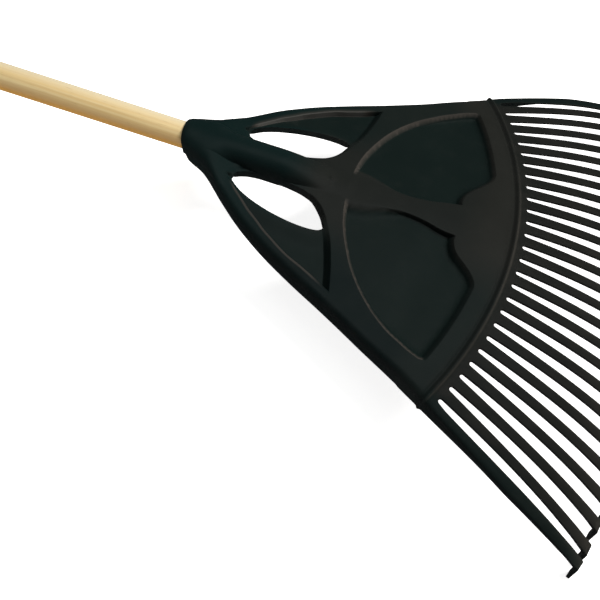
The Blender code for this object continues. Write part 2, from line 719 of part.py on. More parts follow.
# Lay the rake on its outer tine tips and the far end of its handle.
head_points = np.array([v.co for v in head_mesh.vertices])
tip = head_points[np.argmin(head_points[:, 2])]
butt = np.array([-(HANDLE_LENGTH - HANDLE_IN_SOCKET) + 4.5, 0.0, -HANDLE_R])
tilt = math.atan2(butt[2] - tip[2], tip[0] - butt[0])
lay = Matrix.Rotation(-tilt, 4, "Y")
everything = [np.array([lay @ v.co for v in m.vertices]) for m in (head_mesh, handle_mesh)]
low = np.min([p.min(axis=0) for p in everything], axis=0)
high = np.max([p.max(axis=0) for p in everything], axis=0)
middle = (low + high) / 2
place = Matrix.Scale(MM, 4) @ Matrix.Translation((-middle[0], 0.0, -low[2])) @ lay
for obj in (head, handle, screw, bore, screw_bore, pilot):
    obj.data.transform(Matrix.Translation(obj.location))
    obj.location = (0, 0, 0)
    obj.data.transform(place)
    obj.data.shade_smooth()
    obj.data.set_sharp_from_angle(angle=math.radians(35))
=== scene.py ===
"""The leaf rake's finished look: a fine mesh of the moulded head, the turned wooden handle and the screw, with their
materials, on a plain pale floor. The head is worked out in its own frame, in millimetres: u along the handle's axis from
the socket's mouth towards the tines, v across the fan, w up."""

import json
import math

import bmesh
import bpy
import numpy as np
from mathutils import Matrix, Vector
from mathutils.geometry import delaunay_2d_cdt


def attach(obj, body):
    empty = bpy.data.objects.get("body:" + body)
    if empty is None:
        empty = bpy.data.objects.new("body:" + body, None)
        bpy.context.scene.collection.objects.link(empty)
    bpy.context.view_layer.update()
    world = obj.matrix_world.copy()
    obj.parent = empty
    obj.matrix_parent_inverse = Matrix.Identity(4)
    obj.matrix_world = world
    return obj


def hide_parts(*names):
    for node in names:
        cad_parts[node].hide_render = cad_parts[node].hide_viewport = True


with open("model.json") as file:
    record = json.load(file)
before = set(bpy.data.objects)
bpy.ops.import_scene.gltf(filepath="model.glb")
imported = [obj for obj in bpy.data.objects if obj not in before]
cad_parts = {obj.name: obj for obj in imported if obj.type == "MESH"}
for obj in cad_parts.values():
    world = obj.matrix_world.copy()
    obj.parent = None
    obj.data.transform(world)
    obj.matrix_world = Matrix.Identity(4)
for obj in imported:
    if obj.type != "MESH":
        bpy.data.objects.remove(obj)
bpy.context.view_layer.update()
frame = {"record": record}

MM = 0.001

# The head's own frame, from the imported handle's end: its middle lies on the handle's axis, HANDLE_LENGTH from the other end.
HANDLE_R = 14.3
HANDLE_LENGTH = 1219.0
HANDLE_IN_SOCKET = 100.0
HANDLE_NOSE = 6.0
end = next(m for m in frame["record"]["mounts"] if m["name"] == "handle_end")
U = -Vector(end["axis"]).normalized()
V = Vector((0.0, 1.0, 0.0))
W = U.cross(V)
ORIGIN = Vector(end["pos_m"]) + U * (HANDLE_LENGTH - HANDLE_IN_SOCKET) * MM
HEAD_TO_ROW = Matrix.Translation(ORIGIN) @ Matrix((U, V, W)).transposed().to_4x4()

# ---------------------------------------------------------------- dimensions

TINES = 27
PITCH = 0.03923
FAN_U = -38.3
SLOT_ROOT = 414.0
BEND_AT = 606.0
BEND_EDGE_GAIN = 8.5
BEND_R = 4.5
HOOK_ANGLE = math.radians(80.0)
HOOK_LENGTH = 31.0
TIP_WIDTH = 0.72
SHEET = 3.0
FIT_GAP = 0.3

RIB_R = 18.0
RIB_FLAT_U = 106.0
HUB_U = 176.0
HUB_CREST = 5.6
WEB_DROP = 7.0
LENS_DROP = 5.0
BEAD_R = 404.0
BEAD_HEIGHT = 2.2
GROOVE_R = 399.5
RIM_LIP_R = 380.0
FLANGE = 16.0
ROLL = 8.0
TINE_ROLL = 3.0
EYE_WALL = 9.5
BORE_DEPTH = 101.5
SHOULDER = 5.0
LIP = 2.4

SCREW_U = 52.0
SCREW_R = 2.1
SCREW_HEAD_R = 4.4
SCREW_HEAD = 2.4
SCREW_IN_WOOD = 11.0

OUTLINE = [
    (0, 17.4), (3, 19.4), (10.5, 22.0), (21, 26.0), (32, 30.5), (42, 38.1), (52, 47.6), (62.6, 57.7), (84, 75.8),
    (106, 90.6), (127, 103.1), (159, 119.7), (191, 135.5), (222.5, 151.8), (253.5, 168.4), (286, 185.3),
]
# How far the edge's flange hangs below the frame, along the handle's axis and then out along the fan
HANG_U = [
    (0, 4.6), (2, 6.2), (4.9, 8.4), (9, 10.8), (14, 12.6), (20, 13.6), (32, 15.0), (46, 16.2), (66, 15.4), (84, 15.8),
    (106, 17.8), (127, 18.8), (159, 19.8),
]
HANG_RHO = [(330, 1.0), (373, 1.07), (385, 1.04), (400, 0.96), (430, 0.80), (460, 0.60), (490, 0.43), (520, 0.32), (545, 0.28), (600, 0.20)]
EYE_INNER = [
    (64.3, 30.8), (66, 25.7), (74, 21.4), (85, 19), (99, 18.2), (117, 18.2), (127, 19.4), (134, 20.5),
    (142, 22.8), (150.5, 26.8), (158, 34.5), (165, 44), (171, 56.0),
]
EYE_OUTER = [
    (171, 56.0), (166.5, 60), (158, 61.6), (146, 61.7), (134, 60.7), (122, 58.8), (110, 56.2), (98.7, 52.9),
    (87, 48.7), (76, 43.3), (68.3, 37.8), (65, 34), (64.3, 30.8),
]
RAIL_INNER = [
    (56, 31), (64, 38.5), (73, 47), (83, 55.8), (92, 64), (103, 72), (113, 80), (124, 87), (135, 94),
    (146, 100), (158, 105), (170, 110.5), (183, 117), (196.5, 124.5),
]
HUB_WALL = [
    (196.5, 124.5), (193.6, 110), (190.8, 97.3), (187.8, 86.5), (184.5, 75.5), (181, 66), (177.2, 57.7),
    (173.3, 49.9), (168.5, 41.5), (161, 32.4), (151, 25.4), (142, 22.2),
]
WEB_NOSE = [(56, 31), (60, 28.8), (64.3, 27.5)]
LENS_HUB_SIDE = [
    (183, 15.5), (184.6, 30), (188, 45.5), (192.5, 58.5), (198, 71.2), (204.5, 84.5), (211.5, 96), (219.5, 107),
    (229, 118), (239, 128), (250, 137), (261.5, 145.5), (274, 152.6), (285, 158.6), (297, 163.5),
]
LENS_NOTCH = [(334.6, 72.6), (332.8, 65.4), (327.6, 57.5), (319.5, 49), (311.5, 41.3), (306.5, 33.5), (304.5, 26), (305, 19.7)]
SPINE_EDGE = [
    (305, 19.7), (289, 17.4), (273, 13.3), (256, 10.7), (240, 10.1), (224, 10.4), (207, 12.9), (192, 15), (183, 15.5),
]


# ---------------------------------------------------------------- small tools

def smooth(low, high, x):
    t = np.clip((x - low) / (high - low), 0.0, 1.0)
    return t * t * (3 - 2 * t)


def soft_max(a, b, k):
    h = np.clip(0.5 + 0.5 * (a - b) / k, 0.0, 1.0)
    return b * (1 - h) + a * h + k * h * (1 - h)


def curve_through(points, step):
    p = np.array(points, float)
    ends = np.vstack([2 * p[0] - p[1], p, 2 * p[-1] - p[-2]])
    out = []
    for i in range(len(p) - 1):
        a, b, c, d = ends[i : i + 4]
        n = max(1, int(round(np.linalg.norm(c - b) / step)))
        for t in np.arange(n) / n:
            out.append(0.5 * (2 * b + (c - a) * t + (2 * a - 5 * b + 4 * c - d) * t**2 + (3 * b - a - 3 * c + d) * t**3))
    out.append(p[-1])
    return np.array(out)


def polar(rho, theta):
    return np.array([FAN_U + rho * math.cos(theta), rho * math.sin(theta)])


def fan(u, v):
    return np.hypot(u - FAN_U, v), np.arctan2(v, u - FAN_U)


def distance(points, line):
    best = np.full(len(points), 1e9)
    for a, b in zip(line[:-1], line[1:]):
        ab = b - a
        t = np.clip(((points - a) @ ab) / max(ab @ ab, 1e-12), 0, 1)
        d = np.hypot(*(points - (a + t[:, None] * ab)).T)
        best = np.minimum(best, d)
    return best


def inside(points, loop):
    found = np.zeros(len(points), bool)
    x, y = points[:, 0], points[:, 1]
    for a, b in zip(loop, np.roll(loop, -1, axis=0)):
        crosses = (a[1] > y) != (b[1] > y)
        with np.errstate(divide="ignore", invalid="ignore"):
            found ^= crosses & (x < (b[0] - a[0]) * (y - a[1]) / (b[1] - a[1]) + a[0])
    return found


def mirrored(points):
    return np.array(points, float) * np.array([1.0, -1.0])


def unit(t):
    return t / np.maximum(np.linalg.norm(t, axis=1), 1e-12)[:, None]


def offset(points, amount, closed):
    """The polyline moved to its left by amount, with mitred corners."""
    p = np.array(points, float)
    before = np.roll(p, 1, 0) if closed else np.vstack([2 * p[0] - p[1], p[:-1]])
    after = np.roll(p, -1, 0) if closed else np.vstack([p[1:], 2 * p[-1] - p[-2]])
    one, two = unit(p - before), unit(after - p)
    n1 = np.stack([-one[:, 1], one[:, 0]], 1)
    n2 = np.stack([-two[:, 1], two[:, 0]], 1)
    m = unit(n1 + n2)
    m = m / np.maximum((m * n1).sum(1), 0.6)[:, None]
    return p + np.asarray(amount).reshape(-1, 1) * m


class Wall:
    """A recess's wall in section: a rounded edge, a straight slope and a fillet at its foot, over a drop of 1."""

    def __init__(self, drop, angle, top_r, foot_r):
        a = math.radians(angle)
        d, f = [0.0], [0.0]
        for k in (0.25, 0.5, 0.75, 1.0):
            d.append(top_r * math.sin(a * k))
            f.append(top_r * (1 - math.cos(a * k)))
        s = (drop - (top_r + foot_r) * (1 - math.cos(a))) / math.sin(a)
        d0, f0 = d[-1] + s * math.cos(a), f[-1] + s * math.sin(a)
        for k in (0.0, 0.25, 0.5, 0.75, 1.0):
            d.append(d0 + foot_r * (math.sin(a) - math.sin(a * (1 - k))))
            f.append(f0 + foot_r * (math.cos(a * (1 - k)) - math.cos(a)))
        self.d, self.f = np.array(d), np.array(f) / drop
        self.run = d[-1]

    def __call__(self, d):
        return np.interp(d, self.d, self.f)


RAIL_STEP = Wall(7.0, 80, 1.1, 0.9)
HUB_STEP = Wall(7.0, 48, 1.3, 1.3)
LENS_STEP = Wall(5.0, 46, 1.1, 1.1)
SPINE_STEP = Wall(5.0, 76, 0.8, 0.9)


# ---------------------------------------------------------------- the head's faces

def base_height(u, v):
    rho, theta = fan(u, v)
    roof = 6.4 - 0.115 * np.sqrt(v * v + 16.0**2)
    y = (np.clip(rho, 300.0, bend_at(theta)) - 398.6) / 100
    comb = 7.0 - 6.1 * y - 2.24 * y**2 - 2.62 * y**3 + (-82 - 20.7 * y + 12.7 * y**2) * theta**2
    k = smooth(318.0, 400.0, rho)
    return roof * (1 - k) + comb * k


def frame_height(u, v):
    return base_height(u, v) + SHOULDER * np.exp(-(((u - 26.0) / 24.0) ** 2))


def bend_at(theta):
    """Where a tine starts to turn down. The outermost ones are a little longer."""
    return BEND_AT + BEND_EDGE_GAIN * smooth(10.6 * PITCH, 13.0 * PITCH, np.abs(theta))


def slot_half_width(rho):
    y = (rho - 398.6) / 100
    return 1.626 + 4.378 * y - 1.056 * y**2


def edge_tine_gain(rho):
    return -0.8 + 6.9 * np.clip((rho - SLOT_ROOT) / 182.0, 0, 1.06) ** 1.35


def outer_angle(rho):
    return PITCH * (13.27 - 0.0036 * np.clip(rho - 520.0, 0, 95.0))


def tine_edge(k, side, rhos):
    slot = k - 1 if side > 0 else k
    theta = (12.5 - slot) * PITCH
    half = slot_half_width(np.minimum(rhos, BEND_AT + 4))
    if k == 0 or k == TINES - 1:
        half = half - edge_tine_gain(rhos)
    n = np.array([-math.sin(theta), math.cos(theta)])
    centre = np.stack([FAN_U + rhos * math.cos(theta), rhos * math.sin(theta)], 1)
    return centre - side * half[:, None] * n


def tine_outer_edge(side, rhos):
    return np.array([polar(r, side * float(outer_angle(r))) for r in rhos])


def bead_knob(side, rhos):
    """The bead's ends stand out from the head's side by a small knob."""
    size = 1.9 * np.exp(-(((rhos - BEAD_R) / 1.9) ** 2))
    a = side * outer_angle(rhos)
    return np.stack([-np.sin(a), np.cos(a)], 1) * side * size[:, None]


def rib(u, v):
    crest = RIB_R + (HUB_CREST - RIB_R) * smooth(RIB_FLAT_U, HUB_U, u)
    crest = crest - LIP * (1 - np.sqrt(1 - np.clip(1 - u / 8.0, 0, 1) ** 2))
    return crest * np.sqrt(np.clip(1 - (v / RIB_R) ** 2, 0, 1))


rim_arc = np.array([polar(RIM_LIP_R, a) for a in np.linspace(math.radians(25.4), math.radians(12.0), 36)])
lens_soft = np.vstack([curve_through(LENS_HUB_SIDE, 3.0), curve_through([(297, 163.5), (302.5, 163.3), tuple(rim_arc[0])], 2.0)[1:-1], rim_arc, curve_through([tuple(rim_arc[-1])] + LENS_NOTCH, 2.0)[1:]])
lens_spine = curve_through(SPINE_EDGE, 3.0)
lens_loop = np.vstack([lens_soft, lens_spine[1:-1]])
web_rail = np.vstack([curve_through(WEB_NOSE, 2.0)[::-1][:-1], curve_through(RAIL_INNER, 3.0)])
web_hub = curve_through(HUB_WALL, 3.0)
eye_in = curve_through(EYE_INNER, 2.0)
eye_out = curve_through(EYE_OUTER, 2.5)
web_loop = np.vstack([web_rail, web_hub[1:], eye_in[(eye_in[:, 0] < 140) & (eye_in[:, 0] > 66)][::-1]])
outer_body = curve_through(OUTLINE, 3.0)
flanged_plain = np.vstack([outer_body, tine_outer_edge(1, np.arange(376.0, 610, 6.0))])
knob_rho = np.arange(392.0, 416.0, 1.0)
flanged_knob = tine_outer_edge(1, knob_rho) + bead_knob(1, knob_rho)


def relief(p, shift):
    """How far the recesses lie below the frame. shift moves the walls outwards, for the underside."""
    q = np.stack([p[:, 0], np.abs(p[:, 1])], 1)
    low = np.zeros(len(p))
    near = (q[:, 0] > 50) & (q[:, 0] < 345)
    qn = q[near]
    out = np.zeros(len(qn))
    # Lens
    sign = np.where(inside(qn, lens_loop), 1.0, -1.0)
    d1 = distance(qn, lens_soft)
    d2 = distance(qn, lens_spine)
    whole = np.where(sign > 0, 1, -1)
    towards_rim = smooth(300.0, 345.0, fan(qn[:, 0], qn[:, 1])[0])
    f1 = LENS_STEP((np.where(whole > 0, d1, -np.minimum(d1, d2)) + shift) / (1 + 0.30 * towards_rim))
    stretch = 1 + 7.0 * smooth(250.0, 200.0, qn[:, 0])
    f2 = SPINE_STEP((np.where(whole > 0, d2, -np.minimum(d1, d2)) + shift) / stretch)
    depth = LENS_DROP + 1.2 * smooth(260.0, 200.0, qn[:, 0]) + 1.5 * smooth(290.0, 305.0, qn[:, 0]) * smooth(60.0, 35.0, qn[:, 1])
    depth = depth + 1.6 * towards_rim
    out = np.maximum(out, depth * np.minimum(f1, f2))
    # Web
    sign = np.where(inside(qn, web_loop), 1.0, -1.0)
    d1 = distance(qn, web_rail)
    d2 = distance(qn, web_hub)
    edge = np.minimum(d1, d2)
    f1 = RAIL_STEP(np.where(sign > 0, d1, -edge) + shift)
    f2 = HUB_STEP(np.where(sign > 0, d2, -edge) + shift)
    d3 = distance(qn, eye_out)
    depth = 3.0 + 4.0 * smooth(0.0, 22.0, d3)
    depth = np.where(sign > 0, depth, 7.0)
    out = np.maximum(out, depth * np.minimum(f1, f2) * np.where((sign > 0) | (shift > 0), 1, 0))
    low[near] = out
    return low


def painted_highlight(p):
    """Painted highlight mask: 1 on the lens walls and rail crests painted with a highlight, 2 on the steep walls beside
    the rails painted brighter still, 0 elsewhere.
    """
    q = np.stack([p[:, 0], np.abs(p[:, 1])], 1)
    d = distance(q, curve_through(LENS_HUB_SIDE, 3.0))
    lens = smooth(-0.1, 0.8, d) * smooth(5.0, 4.0, d)
    lens = np.where(inside(q, lens_loop), lens, 0.0) * smooth(0.0, 5.0, distance(q, lens_spine))
    s = distance(q, web_rail) * np.where(inside(q, web_loop), 1.0, -1.0)
    broad = 0.3 * smooth(-4.6, -1.6, s) + 0.35 * smooth(-1.6, -0.6, s) + 1.15 * smooth(-0.1, 0.5, s)
    thin = smooth(-2.0, -0.9, s) * smooth(1.0, 0.3, s)
    rail = np.where(p[:, 1] > 0, broad, thin)
    rail = rail * smooth(2.7, 2.0, s) * smooth(62.0, 72.0, q[:, 0]) * smooth(190.0, 170.0, q[:, 0])
    return np.maximum(lens, np.clip(rail, 0, 2))


def roll(p, shift):
    q = np.stack([p[:, 0], np.abs(p[:, 1])], 1)
    rho, _ = fan(q[:, 0], q[:, 1])
    plain = distance(q, flanged_plain)
    knob = distance(q, flanged_knob)
    d = np.where((rho > 395) & (rho < 413), knob, plain) - shift
    r = ROLL + (TINE_ROLL - ROLL) * smooth(385.0, 425.0, rho)
    r = r * (0.4 + 0.6 * smooth(20.0, 60.0, q[:, 0]))
    r = r * smooth(606.0, 590.0, rho) + 1e-6
    r = np.maximum(r - shift, 0.3)
    x = np.clip(r - d, 0, r)
    return (r - np.sqrt(np.maximum(r * r - x * x, 0))) * smooth(-2.0, 14.0, q[:, 0])


def top_face(p):
    u, v = p[:, 0], p[:, 1]
    rho, theta = fan(u, v)
    base = frame_height(u, v) - roll(p, 0.0)
    bead = BEAD_HEIGHT * np.exp(-(((rho - BEAD_R) / 2.2) ** 2)) - 0.6 * np.exp(-(((rho - GROOVE_R) / 1.1) ** 2))
    base = base + bead - relief(p, 0.0)
    # The frame falls away to the eyes beside the rib
    base = base - 3.5 * smooth(8.0, 0.0, distance(np.stack([u, np.abs(v)], 1), eye_in)) * smooth(52.0, 70.0, u) * smooth(160.0, 96.0, u)
    k = 8.5 * smooth(70.0, 36.0, u) + 1.6
    joined = soft_max(rib(u, v), base, k)
    out = np.where(np.abs(v) < RIB_R + 6, np.where(u < HUB_U + 8, joined, base), base)
    # Round the socket's mouth, the rib and the rails run together into one smooth hump
    half = np.interp(u, [a for a, _ in OUTLINE], [b for _, b in OUTLINE]) + 0.4
    hump = rib(u, v * 0.0) * np.sqrt(np.clip(1 - (v / half) ** 2, 0, 1))
    merge = 1 - smooth(24.0, 62.0, u)
    out = out * (1 - merge) + np.maximum(hump, 0.6) * merge
    # The moulding's gate mark on the hub
    return out + 0.9 * np.exp(-(((u - 164.0) ** 2 + v * v) / 2.3**2) ** 2)


def under_face(p):
    u, v = p[:, 0], p[:, 1]
    base = frame_height(u, v) - roll(p, SHEET) - relief(p, SHEET) - SHEET
    vault = rib(u, v) - SHEET - 1.0
    open_rib = np.where((np.abs(v) < RIB_R) & (u < HUB_U + 8), np.maximum(base, vault), base)
    tube = -np.sqrt(np.clip(RIB_R**2 - v**2, 0, None))
    solid = smooth(121.0, 112.0, u)
    out = np.where((np.abs(v) < RIB_R) & (u < 121.0), open_rib * (1 - solid) + np.minimum(tube, open_rib) * solid, open_rib)
    # The hooks are a little thicker than the sheet
    rho, theta = fan(u, v)
    past = rho - bend_at(theta)
    return out - 1.3 * smooth(-14.0, 4.0, past) + 0.6 * smooth(10.0, 34.0, past)


def mouth_rake(u, w):
    """The socket's mouth leans back below the handle's axis."""
    return (3.0 + 3.2 * np.tanh((6.0 - w) / 9.0)) * (1 - smooth(0.0, 16.0, u))


def carry(p, w):
    """Takes a pattern point and its height to the head's frame, with the hooks bent down past the bend."""
    rho, theta = fan(p[:, 0], p[:, 1])
    start_at = bend_at(theta)
    face = base_height(p[:, 0], p[:, 1])
    depth = face - w
    du, dv = np.cos(theta), np.sin(theta)
    y = (start_at - 398.6) / 100
    slope = (-6.1 - 4.48 * y - 7.86 * y * y + (-20.7 + 25.4 * y) * theta**2) / 100
    start = np.arctan(slope)
    # Towards the bend the sheet's thickness turns from upright to square to its face
    lean = start * smooth(start_at - 90.0, start_at, rho)
    turn = HOOK_ANGLE + start
    s = np.clip(rho - start_at, 0, None)
    arc = BEND_R * turn
    a = np.clip(s / arc, 0, 1) * turn
    angle = np.where(rho > start_at, start - a, lean)
    along = np.where(rho > start_at, BEND_R * (np.sin(a - start) + np.sin(start)) + np.clip(s - arc, 0, None) * np.cos(angle), 0)
    fall = np.where(rho > start_at, BEND_R * (np.cos(start) - np.cos(a - start)) + np.clip(s - arc, 0, None) * -np.sin(angle), 0)
    r = np.minimum(rho, start_at) + along + depth * np.sin(angle)
    z = face - fall - depth * np.cos(angle)
    plain = rho < start_at - 90.0
    u = np.where(plain, p[:, 0], FAN_U + r * du)
    v = np.where(plain, p[:, 1], r * dv)
    z = np.where(plain, w, z)
    return np.stack([u + mouth_rake(u, z), v, z], 1)


# ---------------------------------------------------------------- the head's edges

def head_loops():
    """The outline and the eyes as closed loops with the material on their left: (points, flange, floor, bump)."""
    pts, kind, bump = [], [], []

    def more(points, k, out=None):
        for i, q in enumerate(points):
            pts.append(np.array(q, float))
            kind.append(k)
            bump.append(np.zeros(2) if out is None else out[i])

    mouth_v = OUTLINE[0][1]
    more([(0.0, mouth_v * math.sin(math.radians(a))) for a in np.linspace(66, -66, 27)], "mouth")
    more(mirrored(outer_body), "rim")
    side = np.r_[np.arange(377.0, 396, 3.0), np.arange(397.0, 411.0, 0.8), np.arange(413, 424.0, 4.0)]
    more(tine_outer_edge(-1, side), "rim", bead_knob(-1, side))
    for k in range(TINES - 1, -1, -1):
        theta = (13 - k) * PITCH
        start = float(bend_at(np.array([theta]))[0])
        y = (start - 398.6) / 100
        turn = HOOK_ANGLE + math.atan((-6.1 - 4.48 * y - 7.86 * y * y + (-20.7 + 25.4 * y) * theta**2) / 100)
        arc = BEND_R * turn
        hook = np.r_[start - np.array([2.0]), start + arc * np.linspace(0, 1, 8), start + arc + np.array([3.0, 7.0, 12.0, 17.0, 21.0])]
        down = np.r_[np.linspace(SLOT_ROOT + 12, start - 10, 23), hook]
        narrow = 1 - (1 - TIP_WIDTH) * np.clip((down - start - arc) / HOOK_LENGTH, 0, 1)
        low = tine_outer_edge(-1, down) if k == TINES - 1 else tine_edge(k, -1, down)
        high = tine_outer_edge(1, down) if k == 0 else tine_edge(k, 1, down)
        middle = (low + high) / 2
        low = middle + (low - middle) * narrow[:, None]
        high = middle + (high - middle) * narrow[:, None]
        more(low, "rim" if k == TINES - 1 else "tine")
        # The tip's end, with rounded corners
        out = unit((middle[-1] - middle[-2])[None])[0]
        across = unit((high[-1] - low[-1])[None])[0]
        half = np.linalg.norm(high[-1] - low[-1]) / 2 - 0.12
        last = middle[-1] + out * (start + arc + HOOK_LENGTH - 1.8 - down[-1])
        corner = 1.8
        tip = []
        for a in np.linspace(0, 90, 5):
            s, c = math.sin(math.radians(a)), math.cos(math.radians(a))
            tip.append(last - across * (half - corner + corner * c) + out * corner * s)
        tip += [q + across * 2 * float((last - q) @ across) for q in tip[::-1]]
        more(tip, "tine")
        more(high[::-1], "rim" if k == 0 else "tine")
        if k == 0:
            break
        slot = (12.5 - (k - 1)) * PITCH
        r = float(slot_half_width(SLOT_ROOT + 2))
        n = np.array([-math.sin(slot), math.cos(slot)])
        more([polar(SLOT_ROOT + r - r * math.cos(math.radians(a)), slot) + n * r * math.sin(math.radians(a)) for a in np.linspace(-84, 84, 9)], "tine")
    more(tine_outer_edge(1, side)[::-1], "rim", bead_knob(1, side)[::-1])
    more(outer_body[::-1], "rim")
    pts = np.array(pts)
    rho, _ = fan(pts[:, 0], pts[:, 1])
    is_rim = np.array([k == "rim" for k in kind])
    flange = np.where(is_rim, smooth(0.5, 5.0, pts[:, 0]) * smooth(604.0, 570.0, rho), 0.0)
    hang = np.interp(pts[:, 0], *zip(*HANG_U)) * np.interp(rho, *zip(*HANG_RHO))
    floor = base_height(pts[:, 0], np.abs(pts[:, 1])) - hang
    loops = [(pts, flange, floor, np.array(bump))]
    for side in (1, -1):
        e = np.vstack([eye_in[:-1], eye_out[:-1]])
        tip_fade = np.minimum(smooth(0.0, 7.0, np.hypot(e[:, 0] - 64.3, e[:, 1] - 30.8)), smooth(0.0, 7.0, np.hypot(e[:, 0] - 171, e[:, 1] - 56.0)))
        is_in = np.r_[np.ones(len(eye_in) - 1, bool), np.zeros(len(eye_out) - 1, bool)]
        fl = 0.35 + 0.65 * tip_fade
        inner_floor = -EYE_WALL + 1.2 * smooth(130.0, 168.0, e[:, 0])
        outer_floor = base_height(e[:, 0], e[:, 1]) - 3.0 - 9.0
        blend = np.where(is_in, 1.0, 0.0) * tip_fade + (1 - tip_fade) * 0.5
        fo = inner_floor * blend + outer_floor * (1 - blend)
        if side < 0:
            loops.append((mirrored(e), fl, fo, np.zeros_like(e)))
        else:
            loops.append((e[::-1].copy(), fl[::-1].copy(), fo[::-1].copy(), np.zeros_like(e)))
    return loops


def triangulate(rings, features, points):
    """A constrained triangulation inside rings[0] and outside the others. Returns the flat points and the triangles; the ring points come first, in order."""
    flat = [tuple(p) for ring in rings for p in ring]
    edges = []
    first = 0
    for ring in rings:
        edges += [(first + i, first + (i + 1) % len(ring)) for i in range(len(ring))]
        first += len(ring)
    count = first
    extra, extra_edges = [], []
    for line, closed in features:
        n0 = len(extra)
        extra += [tuple(p) for p in line]
        extra_edges += [(n0 + i, n0 + i + 1) for i in range(len(line) - 1)]
        if closed:
            extra_edges.append((n0 + len(line) - 1, n0))
    extra += [tuple(p) for p in points]
    extra = np.array(extra)
    ok = inside(extra, rings[0])
    for ring in rings[1:]:
        ok &= ~inside(extra, ring)
    for ring in rings:
        ok &= distance(extra, np.vstack([ring, ring[:1]])) > 0.45
    index = -np.ones(len(extra), int)
    index[ok] = np.arange(ok.sum()) + count
    flat += [tuple(p) for p in extra[ok]]
    edges += [(int(index[a]), int(index[b])) for a, b in extra_edges if ok[a] and ok[b]]
    found = delaunay_2d_cdt([Vector(p) for p in flat], edges, [], 0, 1e-5, True)
    got = np.array([tuple(p) for p in found[0]])
    tris = np.array([f for f in found[2]])
    centre = got[tris].mean(axis=1)
    good = inside(centre, rings[0])
    for ring in rings[1:]:
        good &= ~inside(centre, ring)
    tris = tris[good]
    a, b, c = (got[tris[:, i]] for i in range(3))
    turn = (b[:, 0] - a[:, 0]) * (c[:, 1] - a[:, 1]) - (b[:, 1] - a[:, 1]) * (c[:, 0] - a[:, 0])
    tris[turn < 0] = tris[turn < 0][:, ::-1]
    # Where each ring point went
    where = -np.ones(count, int)
    for i, sources in enumerate(found[3]):
        for s in sources:
            if s < count:
                where[s] = i
    assert (where >= 0).all(), "a ring point was lost"
    border = {}
    for t in tris:
        for i in range(3):
            e = (int(t[i]), int(t[(i + 1) % 3]))
            border[e] = border.get(e, 0) + 1
    open_edges = {e for e in border if (e[1], e[0]) not in border}
    wanted = set()
    first = 0
    for ring in rings:
        n = len(ring)
        wanted |= {(int(where[first + i]), int(where[first + (i + 1) % n])) for i in range(n)}
        first += n
    missing = wanted - open_edges
    spare = open_edges - wanted
    if missing or spare:
        print("edges that don't match:", len(missing), len(spare), [tuple(np.round(got[a], 1)) for a, b in list(missing)[:12]])
    return got, tris, where


def feature_lines(shift):
    lines = []
    for line, wall, closed in ((lens_soft, LENS_STEP, False), (web_rail, RAIL_STEP, False), (web_hub, HUB_STEP, False), (lens_spine, SPINE_STEP, False)):
        for d in wall.d:
            # These lines run clockwise round their recess, so its inside lies to the right
            moved = offset(line, -(d - shift), closed)
            for m in (moved, mirrored(moved)):
                lines.append((m, closed))
    return lines


